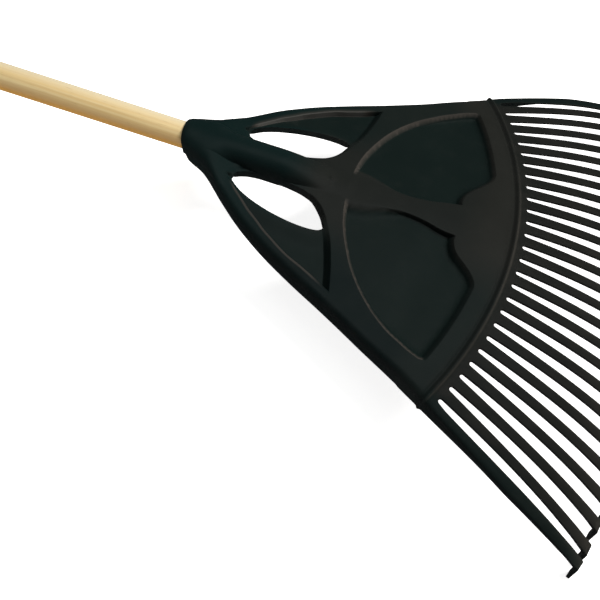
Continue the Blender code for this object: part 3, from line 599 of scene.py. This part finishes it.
def build_head():
    loops = head_loops()
    verts, faces = [], []
    chains = []
    rings_top, rings_under = [], []
    for pts, flange, floor, bump in loops:
        e = 0.75 + 1.25 * flange
        q = 0.75 * (1 - flange)
        thick = 1.5 + 1.5 * flange
        rho, _ = fan(pts[:, 0], pts[:, 1])
        slim = smooth(560.0, 606.0, rho)
        thick = thick * (1 - 0.15 * slim)
        rounds = [(1.0, 0.0), (0.5, 0.134), (0.134, 0.5), (0.0, 1.0)]
        inner = offset(pts, e, True)
        under_ring = offset(pts, thick, True)
        rows = []
        for share, fall in rounds:
            p = offset(pts, e * share, True) + bump * (1 - share)
            rows.append((p, top_face(p) - fall * q))
        w_under = under_face(under_ring)
        bottom = np.minimum(floor, w_under - 0.15) * flange + w_under * (1 - flange)
        bottom = np.minimum(bottom, rows[3][1] - 0.8)
        fr = 0.5
        for share, lift in ((0.0, 1.0), (0.134, 0.5), (0.5, 0.134), (1.0, 0.0)):
            rows.append((offset(pts, fr * share, True) + bump, bottom + lift * fr))
        rows.append((offset(pts, np.maximum(thick - 0.25, 0.7), True), bottom))
        rows.append((under_ring, w_under))
        rings_top.append(rows[0][0])
        rings_under.append(under_ring)
        chains.append(rows)

    # What the faces between the rings need to be sampled by
    fill = []
    for i, u in enumerate(np.arange(3.0, 372.0, 5.0)):
        for v in np.arange(-200.0, 200.1, 5.8):
            fill.append((u, v + (2.9 if i % 2 else 0.0)))
    fill = np.array(fill)
    rho, _ = fan(fill[:, 0], fill[:, 1])
    fill = fill[(rho < 392) & ~((np.abs(fill[:, 1]) < RIB_R + 1.5) & (fill[:, 0] < HUB_U + 6))]
    centres = [polar(r, a * PITCH) for a in np.arange(-13, 14) for r in np.arange(SLOT_ROOT + 2, BEND_AT + 20, 8.0)]
    arcs = []
    angles = np.linspace(-13.02 * PITCH, 13.02 * PITCH, 121)
    for r in np.r_[392.5, 395.0, 396.8, np.arange(397.7, 408.6, 0.75), 410.5]:
        arcs.append((np.array([polar(r, a) for a in angles]), False))
    ribs = []
    rib_u = np.r_[np.arange(1.2, 108, 3.0), np.arange(108, 124, 1.1), np.arange(125, HUB_U + 8, 3.0)]
    for a in np.r_[0, np.arange(8, 81, 8), 85, 88.5]:
        v = RIB_R * math.sin(math.radians(a))
        for side in ((1, -1) if v else (1,)):
            ribs.append((np.array([(u, side * v) for u in rib_u]), False))
    for v in (RIB_R + 0.6, RIB_R + 2.2, RIB_R + 4.5):
        for side in (1, -1):
            ribs.append((np.array([(u, side * v) for u in np.arange(1.2, 64, 3.0)]), False))
    # Rows along the rails' inner edges, for the painted highlight's band
    highlight_lines = []
    for d in (0.5, 1.1, 2.0, 3.2, 4.6):
        m = offset(web_rail[4:], d, False)
        highlight_lines += [(m, False), (mirrored(m), False)]
    rolls = []
    edge_line = np.vstack([outer_body[3:], [polar(r, float(outer_angle(r))) for r in (378, 384, 390)]])
    for d in (3.4, 5.2, 7.4, 9.2, 11.0):
        m = offset(edge_line, -d, False)
        rolls += [(m, False), (mirrored(m), False)]
    gate = [(164 + r * math.cos(a), r * math.sin(a)) for r in (0.7, 1.4, 2.0, 2.6, 3.3) for a in np.linspace(0, 2 * math.pi, 12, endpoint=False)]

    top_flat, top_tris, top_where = triangulate(rings_top, feature_lines(0.0) + arcs + ribs + rolls + highlight_lines, list(fill) + centres + gate)
    under_flat, under_tris, under_where = triangulate(rings_under, feature_lines(SHEET) + arcs[::3] + ribs + rolls[2:], list(fill) + centres)

    n_top = len(top_flat)
    verts = list(map(tuple, carry(top_flat, top_face(top_flat))))
    verts += list(map(tuple, carry(under_flat, under_face(under_flat))))
    faces = [tuple(int(x) for x in t) for t in top_tris]
    faces += [tuple(int(x) + n_top for x in t[::-1]) for t in under_tris]
    first = 0
    for rows, (pts, _, _, _) in zip(chains, loops):
        n = len(pts)
        ids = [top_where[first : first + n]]
        for p, w in rows[1:-1]:
            ids.append(np.arange(n) + len(verts))
            verts += list(map(tuple, carry(p, w)))
        ids.append(under_where[first : first + n] + n_top)
        for one, two in zip(ids[:-1], ids[1:]):
            for i in range(n):
                j = (i + 1) % n
                faces.append((int(one[j]), int(one[i]), int(two[i]), int(two[j])))
        first += n
    mesh = bpy.data.meshes.new("rake_head_fine")
    mesh.from_pydata([Vector(v) * MM for v in verts], [], faces)
    assert not mesh.validate()
    # How deep each point lies in a recess, for the painted shade that makes the recess floors darker than the frame
    deep = np.zeros(len(verts))
    deep[:n_top] = relief(top_flat, 0.0)
    mesh.attributes.new("recess", "FLOAT", "POINT").data.foreach_set("value", deep / 7.0)
    # Painted highlights: how much the lens walls and the rails' edges and walls are painted lighter
    highlight_mask = np.zeros(len(verts))
    highlight_mask[:n_top] = painted_highlight(top_flat)
    mesh.attributes.new("painted_highlight", "FLOAT", "POINT").data.foreach_set("value", highlight_mask)
    bm = bmesh.new()
    bm.from_mesh(mesh)
    bmesh.ops.recalc_face_normals(bm, faces=bm.faces[:])
    loose = [e for e in bm.edges if len(e.link_faces) != 2]
    print("head: verts", len(bm.verts), "faces", len(bm.faces), "open or odd edges", len(loose))
    bm.to_mesh(mesh)
    bm.free()
    return mesh


# ---------------------------------------------------------------- the handle and the screw

def turned(name, profile, sides, axis):
    """A solid turned from (radius, height) points about its own Z axis, then laid along axis."""
    mesh = bpy.data.meshes.new(name)
    bm = bmesh.new()
    rings = []
    for r, h in profile:
        if r < 1e-9:
            rings.append([bm.verts.new((0, 0, h))])
        else:
            rings.append([
                bm.verts.new((r * math.cos(2 * math.pi * i / sides), r * math.sin(2 * math.pi * i / sides), h))
                for i in range(sides)
            ])
    for one, two in zip(rings[:-1], rings[1:]):
        for i in range(sides):
            j = (i + 1) % sides
            a, b = one[i % len(one)], one[j % len(one)]
            c, d = two[j % len(two)], two[i % len(two)]
            bm.faces.new(list(dict.fromkeys((a, b, c, d))))
    for ring, flip in ((rings[0], True), (rings[-1], False)):
        if len(ring) > 1:
            bm.faces.new(ring[::-1] if flip else ring)
    bmesh.ops.recalc_face_normals(bm, faces=bm.faces[:])
    bm.transform(Matrix.Scale(MM, 4) @ Vector(axis).to_track_quat("Z", "Y").to_matrix().to_4x4())
    bm.to_mesh(mesh)
    bm.free()
    return mesh


def build_handle():
    """The dowel: a straight turned stick with a rounded butt, ever so slightly out of true along its length."""
    butt = -(HANDLE_LENGTH - HANDLE_IN_SOCKET)
    r = 4.4
    profile = [(5.0, butt), (HANDLE_R - r - 2.0, butt)]
    profile += [(HANDLE_R - r + r * math.sin(math.radians(a)), butt + r * (1 - math.cos(math.radians(a)))) for a in range(0, 91, 9)]
    profile += [(HANDLE_R, h) for h in np.linspace(butt + 12, HANDLE_IN_SOCKET - HANDLE_NOSE, 84)]
    profile += [(HANDLE_R - 1.4, HANDLE_IN_SOCKET - 3.0), (HANDLE_R - 3.0, HANDLE_IN_SOCKET)]
    mesh = turned("handle_fine", profile, 96, (1, 0, 0))
    for v in mesh.vertices:
        u, y, z = v.co / MM
        angle = math.atan2(z, y)
        inset = 0.05 * (1 + math.sin(3 * angle + u / 70.0)) / 2 + 0.05 * (1 + math.sin(2 * angle - u / 113.0)) / 2
        k = 1 - inset / HANDLE_R
        v.co.y *= k
        v.co.z *= k
    return mesh


def build_screw():
    """A pan-head screw, its head under the socket, with a wood thread; its cross recess is cut afterwards."""
    under = RIB_R + FIT_GAP
    tip = -(HANDLE_R - SCREW_IN_WOOD)
    core = SCREW_R * 0.72
    profile = [(0.0, tip)]
    h = tip - 1.0
    profile += [(core * 0.5, h), (SCREW_R * 0.6, h - 0.35), (core * 0.75, h - 0.7)]
    h -= 1.4
    while h > -under + 2.2:
        profile += [(core, h), (SCREW_R, h - 0.35), (core, h - 0.7)]
        h -= 1.4
    profile += [(SCREW_R, h - 0.2), (SCREW_R, -under), (SCREW_HEAD_R - 0.2, -under), (SCREW_HEAD_R, -under - 0.25)]
    for a in range(0, 91, 10):
        c, s = math.cos(math.radians(a)), math.sin(math.radians(a))
        profile.append((SCREW_HEAD_R * (0.55 + 0.45 * c), -under - 0.25 - (SCREW_HEAD - 0.25) * (0.25 + 0.75 * s)))
    profile += [(SCREW_HEAD_R * 0.3, -under - SCREW_HEAD), (0.0, -under - SCREW_HEAD)]
    mesh = turned("socket_screw_fine", profile, 48, (0, 0, 1))
    mesh.transform(Matrix.Translation((SCREW_U * MM, 0, 0)))
    return mesh


def cross_cutter(turn):
    """Two opposite wings of the driver recess, as one tapered slab."""
    bm = bmesh.new()
    z = -(RIB_R + FIT_GAP + SCREW_HEAD)
    rot = Matrix.Rotation(math.radians(turn + 20), 4, "Z")
    quads = []
    for long, wide, h in ((2.5, 0.5, z - 1.0), (2.3, 0.42, z), (1.1, 0.3, z + 1.6)):
        quads.append([bm.verts.new(rot @ Vector((x * long, y * wide, h))) for x, y in ((-1, -1), (1, -1), (1, 1), (-1, 1))])
    for one, two in zip(quads[:-1], quads[1:]):
        for i in range(4):
            bm.faces.new((one[i], one[(i + 1) % 4], two[(i + 1) % 4], two[i]))
    bm.faces.new(quads[0][::-1])
    bm.faces.new(quads[-1])
    bmesh.ops.recalc_face_normals(bm, faces=bm.faces[:])
    bm.transform(Matrix.Translation((SCREW_U * MM, 0, 0)) @ Matrix.Scale(MM, 4))
    mesh = bpy.data.meshes.new("cross")
    bm.to_mesh(mesh)
    bm.free()
    return mesh


def piece(name, mesh):
    obj = bpy.data.objects.new(name, mesh)
    bpy.context.scene.collection.objects.link(obj)
    return obj


def cut_with(obj, cutters):
    """Cuts the meshes out of obj and leaves a plain mesh."""
    tools = []
    for i, mesh in enumerate(cutters):
        tool = piece("cutter%d" % i, mesh)
        m = obj.modifiers.new("cut%d" % i, "BOOLEAN")
        m.operation = "DIFFERENCE"
        m.object = tool
        m.solver = "EXACT"
        tools.append(tool)
    graph = bpy.context.evaluated_depsgraph_get()
    result = bpy.data.meshes.new_from_object(obj.evaluated_get(graph))
    result.name = obj.data.name
    obj.modifiers.clear()
    obj.data = result
    for tool in tools:
        bpy.data.objects.remove(tool)


def smooth_shading(obj, degrees):
    obj.data.shade_smooth()
    obj.data.set_sharp_from_angle(angle=math.radians(degrees))


head = piece("rake_head_moulding", build_head())
bore = turned("bore", [
    (HANDLE_R + FIT_GAP, -20), (HANDLE_R + FIT_GAP, BORE_DEPTH - HANDLE_NOSE), (HANDLE_R + FIT_GAP - 3.0, BORE_DEPTH + 0.3),
], 96, (1, 0, 0))
hole = turned("hole", [(SCREW_R + FIT_GAP, 0), (SCREW_R + FIT_GAP, 40)], 32, (0, 0, -1))
hole.transform(Matrix.Translation((SCREW_U * MM, 0, 0)))
cut_with(head, [bore, hole])
smooth_shading(head, 42)

stick = piece("handle_dowel", build_handle())
pilot = turned("pilot", [(SCREW_R + FIT_GAP, 0), (SCREW_R + FIT_GAP, 30)], 24, (0, 0, -1))
pilot.transform(Matrix.Translation((SCREW_U * MM, 0, -(HANDLE_R - SCREW_IN_WOOD - FIT_GAP) * MM)))
cut_with(stick, [pilot])
smooth_shading(stick, 40)

screw = piece("socket_screw_cross", build_screw())
cut_with(screw, [cross_cutter(0), cross_cutter(90)])
assert len(screw.data.polygons) > 500
smooth_shading(screw, 32)

for obj, node, slot in ((head, "rake_head", "black_plastic"), (stick, "handle", "wood"), (screw, "socket_screw", "zinc_steel")):
    obj.data.transform(HEAD_TO_ROW)
    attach(obj, "root")
    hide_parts(node)


# ---------------------------------------------------------------- materials

class Nodes:
    """A material's node tree, built by short calls."""

    def __init__(self, name):
        self.material = bpy.data.materials.new(name)
        self.material.use_nodes = True
        self.tree = self.material.node_tree
        self.shader = self.tree.nodes["Principled BSDF"]
        # Patterns follow the head's own frame, so that the handle's grain runs along it
        row = self.add("ShaderNodeTexCoord").outputs["Object"]
        own = self.add("ShaderNodeMapping", Vector=row, Location=HEAD_TO_ROW.to_translation(), Rotation=HEAD_TO_ROW.to_euler())
        own.vector_type = "TEXTURE"
        self.where = own.outputs["Vector"]

    def add(self, kind, **inputs):
        node = self.tree.nodes.new(kind)
        for name, value in inputs.items():
            self.put(node.inputs[name.replace("_", " ")], value)
        return node

    def put(self, socket, value):
        if isinstance(value, bpy.types.NodeSocket):
            self.tree.links.new(value, socket)
        else:
            socket.default_value = value

    def stretched(self, scale):
        return self.add("ShaderNodeMapping", Vector=self.where, Scale=scale).outputs["Vector"]

    def noise(self, scale, detail=3.0, rough=0.5, vector=None, distortion=0.0):
        node = self.add("ShaderNodeTexNoise", Vector=vector or self.where, Scale=scale, Detail=detail, Roughness=rough, Distortion=distortion)
        return node.outputs["Fac"]

    def span(self, value, low, high, to_low=0.0, to_high=1.0):
        node = self.tree.nodes.new("ShaderNodeMapRange")
        for name, v in (("Value", value), ("From Min", low), ("From Max", high), ("To Min", to_low), ("To Max", to_high)):
            self.put(node.inputs[name], v)
        return node.outputs["Result"]

    def maths(self, how, a, b=0.0, c=0.0):
        node = self.tree.nodes.new("ShaderNodeMath")
        node.operation = how
        for socket, v in zip(node.inputs, (a, b, c)):
            self.put(socket, v)
        return node.outputs[0]

    def mix(self, factor, a, b, how="MIX"):
        node = self.tree.nodes.new("ShaderNodeMix")
        node.data_type = "RGBA"
        node.blend_type = how
        colour = [s for s in node.inputs if s.type == "RGBA"]
        self.put(node.inputs[0], factor)
        for socket, v in zip(colour, (a, b)):
            self.put(socket, v if isinstance(v, bpy.types.NodeSocket) else (*v, 1.0))
        return [s for s in node.outputs if s.type == "RGBA"][0]

    def bump(self, height, strength, reach, normal=None):
        node = self.add("ShaderNodeBump", Height=height, Strength=strength, Distance=reach)
        if normal:
            self.put(node.inputs["Normal"], normal)
        return node.outputs["Normal"]

    def finish(self, obj, **inputs):
        for name, value in inputs.items():
            self.put(self.shader.inputs[name.replace("_", " ")], value)
        obj.data.materials.clear()
        obj.data.materials.append(self.material)


# Moulded polypropylene: near-black with a green-blue cast on the body, a fine spark-eroded grain, soft sink marks, flow
# streaks and dust.
# Painted light and shade: the comb a little browner and lighter as a painted warm sheen, the frame's middle and the rim
# lighter as painted sheen, the recess floors and the side at negative v darker as painted shade, painted highlights
# along the lens walls and the rails, and convex edges lighter, partly rubbed wear and partly painted highlight.
n = Nodes("moulded_black_plastic")
parts = n.add("ShaderNodeSeparateXYZ", Vector=n.where).outputs
from_fan = n.maths("ADD", parts[0], -FAN_U * MM)
rho = n.maths("SQRT", n.maths("ADD", n.maths("MULTIPLY", from_fan, from_fan), n.maths("MULTIPLY", parts[1], parts[1])))
cloud = n.noise(9.0, 4.0, 0.55)
flow = n.noise(26.0, 3.0, 0.5, n.stretched((1.0, 3.5, 3.5)))
body = n.mix(n.span(cloud, 0.35, 0.65), (0.0050, 0.0096, 0.0090), (0.0062, 0.0112, 0.0104))
# Painted warm sheen: the comb is painted browner and lighter than the body.
comb = n.mix(n.span(flow, 0.35, 0.65), (0.0085, 0.0095, 0.0088), (0.0115, 0.0120, 0.0110))
# Painted shade: the recess floors take the darker, more teal body tone, and the frame takes the lighter frame tone.
recess = n.add("ShaderNodeAttribute")
recess.attribute_name = "recess"
recess = n.span(recess.outputs["Fac"], 0.25, 0.6)
cool = n.mix(n.span(cloud, 0.35, 0.65), (0.0038, 0.0112, 0.0110), (0.0048, 0.0122, 0.0120))
hub_sheen_tone = n.mix(n.span(cloud, 0.35, 0.65), (0.0104, 0.0124, 0.0116), (0.0128, 0.0144, 0.0132))
plain = n.mix(n.span(cloud, 0.35, 0.65), (0.0074, 0.0112, 0.0104), (0.0088, 0.0124, 0.0114))
dark = n.mix(n.span(cloud, 0.35, 0.65), (0.0034, 0.0074, 0.0076), (0.0042, 0.0084, 0.0084))
across = n.maths("ABSOLUTE", parts[1])
# Painted sheen: the frame's middle, from the hub outwards, is painted lighter and warmer.
middle = n.maths("MULTIPLY", n.span(parts[0], 0.115, 0.150), n.span(across, 0.085, 0.045))
frame_tone = n.mix(n.span(parts[0], 0.120, 0.200), cool, plain)
frame_tone = n.mix(middle, frame_tone, hub_sheen_tone)
# Painted shade: the frame on the side at negative v is painted darker and more teal.
shaded_side = n.span(parts[1], -0.060, -0.105)
frame_tone = n.mix(shaded_side, frame_tone, dark)
body = n.mix(recess, frame_tone, body)
# Painted sheen and shade: the rim is painted lighter, and darker again on the side at negative v.
rim = n.mix(n.span(cloud, 0.35, 0.65), (0.0136, 0.0144, 0.0128), (0.0158, 0.0166, 0.0150))
rim = n.mix(n.span(parts[1], -0.030, -0.085), rim, (0.0072, 0.0112, 0.0106))
body = n.mix(n.maths("MULTIPLY", n.span(rho, 0.345, 0.375), n.maths("SUBTRACT", 1.0, recess)), body, rim)
# The outermost tines match the body
turned_out = n.maths("ARCTAN2", across, from_fan)
comb = n.mix(n.span(turned_out, 12.1 * PITCH, 12.7 * PITCH), comb, (0.0042, 0.0082, 0.0078))
colour = n.mix(n.span(rho, 0.392, 0.412), body, comb)
# Painted highlights along the lens walls and the rails' edges and walls, from the highlight mask.
highlight_mask = n.add("ShaderNodeAttribute")
highlight_mask.attribute_name = "painted_highlight"
highlight_mask = highlight_mask.outputs["Fac"]
light = n.mix(n.span(highlight_mask, 1.0, 2.0), (0.043, 0.039, 0.035), (0.080, 0.082, 0.078))
colour = n.mix(n.span(highlight_mask, 0.0, 1.0, 0.0, 0.92), colour, light)
# Convex edges painted lighter in places: partly rubbed wear, partly a painted highlight on the bevels.
edge = n.span(n.add("ShaderNodeNewGeometry").outputs["Pointiness"], 0.52, 0.60)
dust = n.span(n.noise(55.0, 5.0, 0.65), 0.52, 0.75)
colour = n.mix(n.maths("MULTIPLY", edge, n.span(n.noise(120.0, 3.0), 0.4, 0.65, 0.05, 0.22)), colour, (0.050, 0.052, 0.048))
colour = n.mix(n.maths("MULTIPLY", dust, 0.05), colour, (0.045, 0.045, 0.040))
rough = n.span(n.noise(34.0, 4.0, 0.6), 0.3, 0.7, 0.40, 0.48)
rough = n.maths("ADD", rough, n.maths("MULTIPLY", dust, 0.06))
grain = n.noise(2300.0, 2.0, 0.6)
sink = n.noise(24.0, 2.0, 0.4)
normal = n.bump(sink, 0.04, 0.003)
normal = n.bump(grain, 0.12, 0.00020, normal)
n.finish(head, Base_Color=colour, Roughness=rough, Normal=normal, Specular_IOR_Level=0.28)

# Turned hardwood under a thin lacquer: pale, with long darker streaks, short flecks and a few mineral lines.
n = Nodes("lacquered_wood")
long = n.stretched((1.0, 55.0, 55.0))
streak = n.noise(3.2, 6.0, 0.62, long, 0.4)
fine = n.noise(9.0, 5.0, 0.7, n.stretched((1.0, 110.0, 110.0)))
fleck = n.noise(60.0, 3.0, 0.6, n.stretched((1.0, 16.0, 16.0)))
mineral = n.noise(1.6, 2.0, 0.5, n.stretched((1.0, 90.0, 90.0)))
colour = n.mix(n.span(streak, 0.34, 0.66), (0.95, 0.74, 0.38), (0.80, 0.565, 0.25))
colour = n.mix(n.span(fine, 0.42, 0.68, 0.0, 0.45), colour, (0.93, 0.76, 0.46))
# Painted light and shade across the dowel: one side is painted paler as if lit, the other deep orange-brown as if in
# shade
parts = n.add("ShaderNodeSeparateXYZ", Vector=n.where).outputs
lit_and_shaded_side = n.maths("MULTIPLY_ADD", parts[1], -0.883, n.maths("MULTIPLY", parts[2], -0.469))
colour = n.mix(n.span(lit_and_shaded_side, -0.003, -0.0125, 0.0, 0.85), colour, (0.78, 0.69, 0.50))
colour = n.mix(n.span(lit_and_shaded_side, 0.004, 0.0125, 0.0, 0.97), colour, (0.57, 0.275, 0.030))
colour = n.mix(n.span(fleck, 0.60, 0.74, 0.0, 0.35), colour, (0.45, 0.27, 0.11))
colour = n.mix(n.span(mineral, 0.66, 0.74, 0.0, 0.5), colour, (0.40, 0.22, 0.09))
rough = n.span(fine, 0.3, 0.7, 0.34, 0.48)
normal = n.bump(fine, 0.25, 0.0004)
normal = n.bump(n.noise(20.0, 3.0), 0.08, 0.002, normal)
n.finish(stick, Base_Color=colour, Roughness=rough, Normal=normal, Coat_Weight=0.35, Coat_Roughness=0.18)

# Bright zinc plate: a fine grain, with a faint blue and yellow passivation.
n = Nodes("zinc_plate")
tint = n.mix(n.span(n.noise(180.0, 3.0), 0.4, 0.6), (0.60, 0.62, 0.64), (0.70, 0.67, 0.58))
n.finish(screw, Base_Color=tint, Metallic=1.0, Roughness=n.span(n.noise(500.0, 4.0), 0.3, 0.7, 0.24, 0.42), Normal=n.bump(n.noise(1500.0, 3.0), 0.15, 0.0002))


# ---------------------------------------------------------------- floor, light and camera

def stage_floor():
    bm = bmesh.new()
    size, cells = 9.0, 24
    grid = [[bm.verts.new((size * (i / cells - 0.5), size * (j / cells - 0.5), -0.0002)) for j in range(cells + 1)] for i in range(cells + 1)]
    for i in range(cells):
        for j in range(cells):
            bm.faces.new((grid[i][j], grid[i + 1][j], grid[i + 1][j + 1], grid[i][j + 1]))
    mesh = bpy.data.meshes.new("floor")
    bm.to_mesh(mesh)
    bm.free()
    floor = piece("floor", mesh)
    n = Nodes("plain_floor")
    tone = n.mix(n.noise(3.0, 2.0), (0.90, 0.90, 0.90), (0.92, 0.92, 0.92))
    n.finish(floor, Base_Color=tone, Roughness=0.9, Specular_IOR_Level=0.1, Emission_Color=tone, Emission_Strength=0.96)
    # The plastic reflects the dark studio round it, not the floor
    floor.visible_glossy = False


def area(name, at, aim, size, power, colour):
    light = bpy.data.lights.new(name, "AREA")
    light.shape = "RECTANGLE"
    light.size, light.size_y = size
    light.energy = power
    light.color = colour
    obj = bpy.data.objects.new(name, light)
    bpy.context.scene.collection.objects.link(obj)
    obj.location = at
    obj.rotation_euler = (Vector(aim) - Vector(at)).to_track_quat("-Z", "Y").to_euler()
    return obj


stage_floor()
# The key only lays an even light on things; the gloss comes from the panel and the softbox overhead
area("key", (1.5, 1.0, 2.3), (0.3, 0.0, 0.0), (1.2, 1.2), 92.0, (1.0, 0.98, 0.94)).visible_glossy = False
area("panel", (2.3, 0.1, 0.5), (0.4, 0.0, 0.05), (3.0, 0.9), 9.0, (1.0, 0.86, 0.72))
area("overhead", (0.40, 0.05, 2.3), (0.40, 0.1, 0.0), (2.2, 1.6), 6.0, (0.95, 1.0, 1.0))

scene = bpy.context.scene
world = bpy.data.worlds.new("studio")
world.use_nodes = True
world.node_tree.nodes["Background"].inputs["Color"].default_value = (0.96, 0.98, 1.0, 1.0)
world.node_tree.nodes["Background"].inputs["Strength"].default_value = 0.03
scene.world = world
scene.view_settings.view_transform = "Standard"
scene.view_settings.look = "None"

# The camera, placed from the head: axes of the head's frame as the camera sees them, right, down and forward.
SIGHT = Matrix((
    (0.95209169, 0.26975049, 0.14406973),
    (0.30581205, -0.84079622, -0.44669979),
    (0.00063580, 0.46935742, -0.88300805),
))
camera_data = bpy.data.cameras.new("camera")
camera_data.sensor_width = 36.0
camera_data.lens = 48.0
camera_data.clip_start = 0.01
camera_data.clip_end = 50.0
camera = bpy.data.objects.new("camera", camera_data)
scene.collection.objects.link(camera)
turn = SIGHT.transposed() @ Matrix(((1, 0, 0), (0, -1, 0), (0, 0, -1)))
place = Matrix.Translation(Vector((170.1914, -510.8470, 686.5737)) * MM) @ turn.to_4x4()
camera.matrix_world = HEAD_TO_ROW @ place
scene.camera = camera
